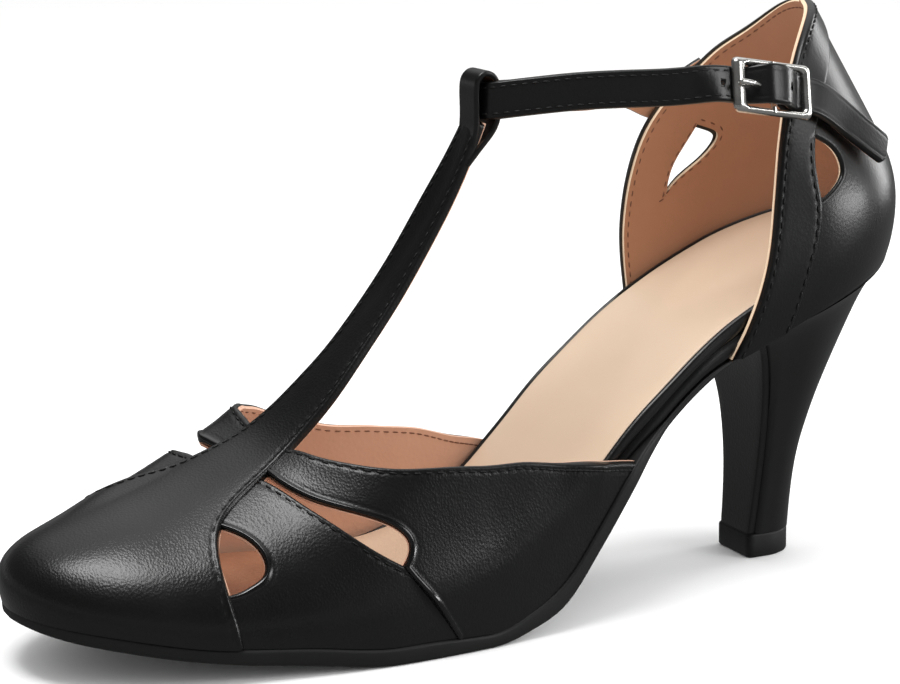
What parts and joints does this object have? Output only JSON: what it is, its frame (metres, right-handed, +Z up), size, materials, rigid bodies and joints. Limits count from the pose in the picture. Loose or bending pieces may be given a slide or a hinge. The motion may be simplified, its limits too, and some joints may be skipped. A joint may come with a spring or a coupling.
{
  "type": "t-strap pump",
  "caption": "High-heeled T-strap pump with an open waist, teardrop and slit cut-outs, an ankle strap and a square buckle; a left shoe.",
  "frame": {"origin": "on the floor, under the middle of the shoe's box", "axes": "+X from the toe towards the heel, -Y to the shoe's outer side, +Z up"},
  "size_m": [0.2253, 0.0757, 0.1358],
  "materials": {
    "black_leather": "smooth fine-grained semi-gloss",
    "black_rubber": "matt",
    "heel_cover": "smooth semi-gloss",
    "beige_sock": "soft satin",
    "polished_steel": "polished"
  },
  "bodies": {
    "root": {"outsole": "black_rubber", "insole": "black_leather", "sock": "beige_sock", "heel": "heel_cover", "top_lift": "black_rubber", "breast_flap": "black_leather", "vamp": "black_leather", "quarter": "black_leather", "ankle_strap": "black_leather", "buckle_frame": "polished_steel", "buckle_prong": "polished_steel", "buckle_tab": "black_leather"}
  },
  "joints": []
}
